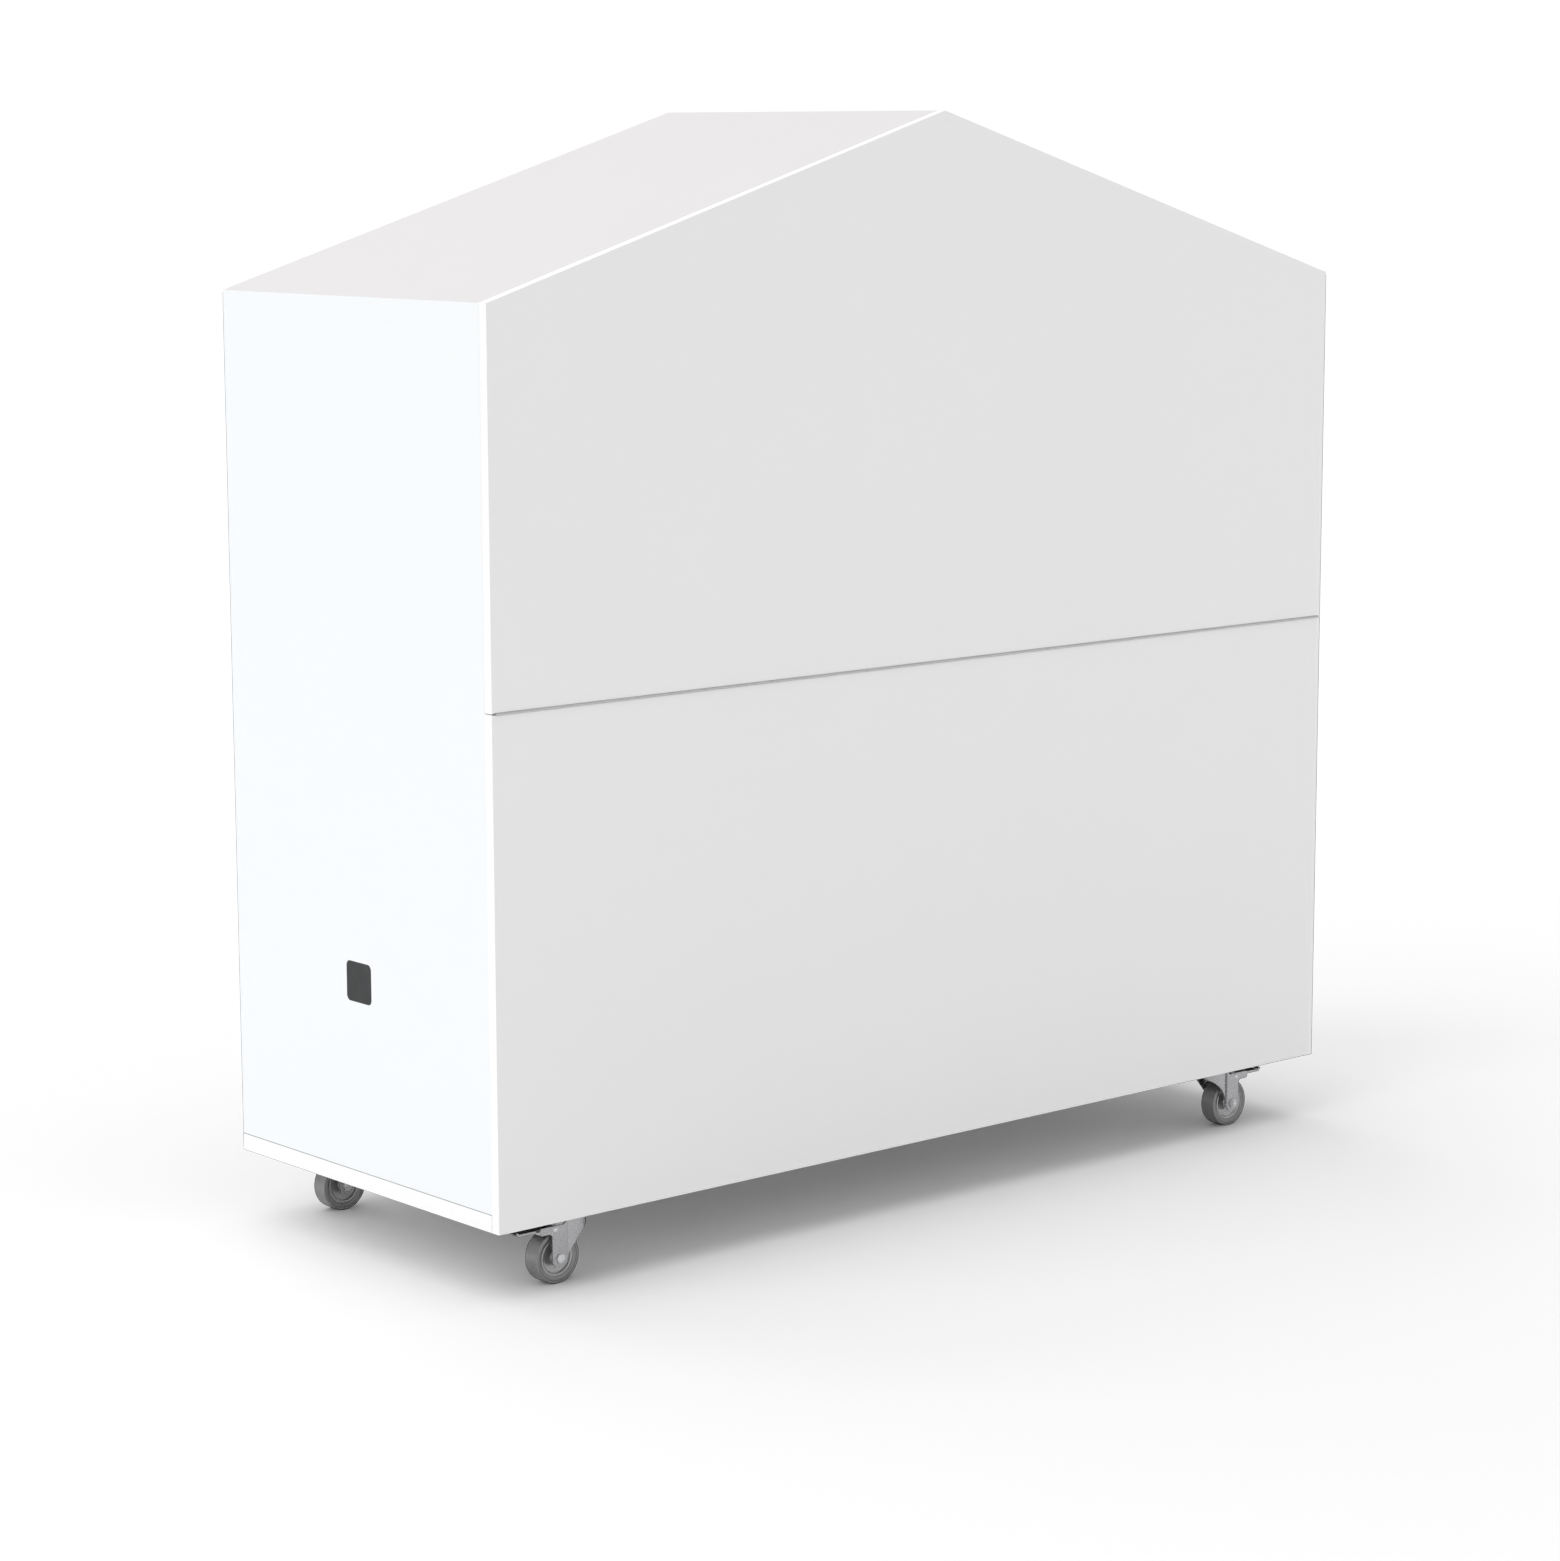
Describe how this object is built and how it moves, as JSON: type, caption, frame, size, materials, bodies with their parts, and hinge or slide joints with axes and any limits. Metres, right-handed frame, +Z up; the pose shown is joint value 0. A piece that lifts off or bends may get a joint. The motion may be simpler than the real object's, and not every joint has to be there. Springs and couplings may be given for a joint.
{
  "type": "mobile counter cabinet",
  "caption": "House-shaped counter cabinet of white boards on swivel castors, with an upper front that folds down and an open back with worktop and shelves.",
  "frame": {"origin": "on the floor, under the middle of the cabinet", "axes": "+Z up, the closed front faces -Y, +X to the right seen from the front"},
  "size_m": [1.65, 0.6319, 1.618],
  "materials": {
    "wall_board": "smooth white laminate",
    "roof_board": "smooth white laminate",
    "front_board": "smooth white laminate",
    "base_board": "smooth white laminate",
    "inner_board": "smooth white laminate",
    "timber": "painted timber",
    "dark_plate": "matt, blank",
    "tyre": "grey rubber",
    "wheel_plastic": "satin grey",
    "zinc_steel": "bright zinc plate",
    "bright_steel": "bright zinc plate",
    "hinge_steel": "satin",
    "screw_steel": "bright zinc plate",
    "bolt_steel": "satin",
    "bracket_steel": "white powder coat"
  },
  "bodies": {
    "case": {"ball_races": "bright_steel", "base_board": "base_board", "blank_plate": "dark_plate", "bolt_keeper_screws": "screw_steel", "bolt_keepers": "bolt_steel", "bracket_screws": "screw_steel", "castor_plate_front_left": "zinc_steel", "castor_plate_front_right": "zinc_steel", "castor_plate_rear_left": "zinc_steel", "castor_plate_rear_right": "zinc_steel", "castor_screws": "screw_steel", "centre_divider": "inner_board", "eave_brackets": "bracket_steel", "end_wall_left": "wall_board", "end_wall_right": "wall_board", "foot_brackets": "bracket_steel", "hinge_leaf_lower": "hinge_steel", "hinge_pin": "hinge_steel", "hinge_screws_lower": "screw_steel", "kingpins": "bright_steel", "lower_front_panel": "front_board", "rear_rail": "inner_board", "ridge_beam": "timber", "roof_panel_left": "roof_board", "roof_panel_right": "roof_board", "shelf_left": "inner_board", "shelf_pins": "screw_steel", "shelf_right": "inner_board", "worktop": "inner_board", "worktop_brackets": "bracket_steel"},
    "fork_front_left": {"axle_front_left": "bright_steel", "fork_front_left": "zinc_steel", "pedal_pin_front_left": "bright_steel"},
    "fork_front_right": {"axle_front_right": "bright_steel", "fork_front_right": "zinc_steel", "pedal_pin_front_right": "bright_steel"},
    "fork_rear_left": {"axle_rear_left": "bright_steel", "fork_rear_left": "zinc_steel"},
    "fork_rear_right": {"axle_rear_right": "bright_steel", "fork_rear_right": "zinc_steel"},
    "flap": {"bolt_guide_left": "bolt_steel", "bolt_guide_right": "bolt_steel", "bolt_guide_screws": "screw_steel", "front_flap": "front_board", "hinge_leaf_upper": "hinge_steel", "hinge_screws_upper": "screw_steel"},
    "bolt_left": {"bolt_rod_left": "bolt_steel"},
    "bolt_right": {"bolt_rod_right": "bolt_steel"},
    "pedal_front_left": {"pedal_front_left": "zinc_steel"},
    "pedal_front_right": {"pedal_front_right": "zinc_steel"},
    "wheel_front_left": {"tyre_front_left": "tyre", "wheel_centre_front_left": "wheel_plastic"},
    "wheel_front_right": {"tyre_front_right": "tyre", "wheel_centre_front_right": "wheel_plastic"},
    "wheel_rear_left": {"tyre_rear_left": "tyre", "wheel_centre_rear_left": "wheel_plastic"},
    "wheel_rear_right": {"tyre_rear_right": "tyre", "wheel_centre_rear_right": "wheel_plastic"}
  },
  "joints": [
    {"name": "flap_fold", "type": "hinge", "parent": "case", "child": "flap", "pos_m": [0, -0.31435, 0.82], "axis": [1, 0, 0], "range_deg": [0, 180]},
    {"name": "bolt_slide_left", "type": "slide", "parent": "flap", "child": "bolt_left", "axis": [-1, 0, 0], "range_m": [0, 0.014]},
    {"name": "bolt_slide_right", "type": "slide", "parent": "flap", "child": "bolt_right", "axis": [1, 0, 0], "range_m": [0, 0.014]},
    {"name": "swivel_front_left", "type": "hinge", "parent": "case", "child": "fork_front_left", "pos_m": [-0.663, -0.25855, 0.09], "axis": [0, 0, 1], "continuous": true},
    {"name": "roll_front_left", "type": "hinge", "parent": "fork_front_left", "child": "wheel_front_left", "pos_m": [-0.693, -0.25855, 0.0375], "axis": [0, 1, 0], "continuous": true},
    {"name": "brake_front_left", "type": "hinge", "parent": "fork_front_left", "child": "pedal_front_left", "pos_m": [-0.701, -0.25855, 0.08025], "axis": [0, -1, 0], "range_deg": [0, 8]},
    {"name": "swivel_front_right", "type": "hinge", "parent": "case", "child": "fork_front_right", "pos_m": [0.646, -0.25855, 0.09], "axis": [0, 0, 1], "continuous": true},
    {"name": "roll_front_right", "type": "hinge", "parent": "fork_front_right", "child": "wheel_front_right", "pos_m": [0.676, -0.25855, 0.0375], "axis": [0, 1, 0], "continuous": true},
    {"name": "brake_front_right", "type": "hinge", "parent": "fork_front_right", "child": "pedal_front_right", "pos_m": [0.684, -0.25855, 0.08025], "axis": [0, 1, 0], "range_deg": [0, 8]},
    {"name": "swivel_rear_left", "type": "hinge", "parent": "case", "child": "fork_rear_left", "pos_m": [-0.663, 0.26045, 0.09], "axis": [0, 0, 1], "continuous": true},
    {"name": "roll_rear_left", "type": "hinge", "parent": "fork_rear_left", "child": "wheel_rear_left", "pos_m": [-0.693, 0.26045, 0.0375], "axis": [0, 1, 0], "continuous": true},
    {"name": "swivel_rear_right", "type": "hinge", "parent": "case", "child": "fork_rear_right", "pos_m": [0.646, 0.26045, 0.09], "axis": [0, 0, 1], "continuous": true},
    {"name": "roll_rear_right", "type": "hinge", "parent": "fork_rear_right", "child": "wheel_rear_right", "pos_m": [0.676, 0.26045, 0.0375], "axis": [0, 1, 0], "continuous": true}
  ]
}
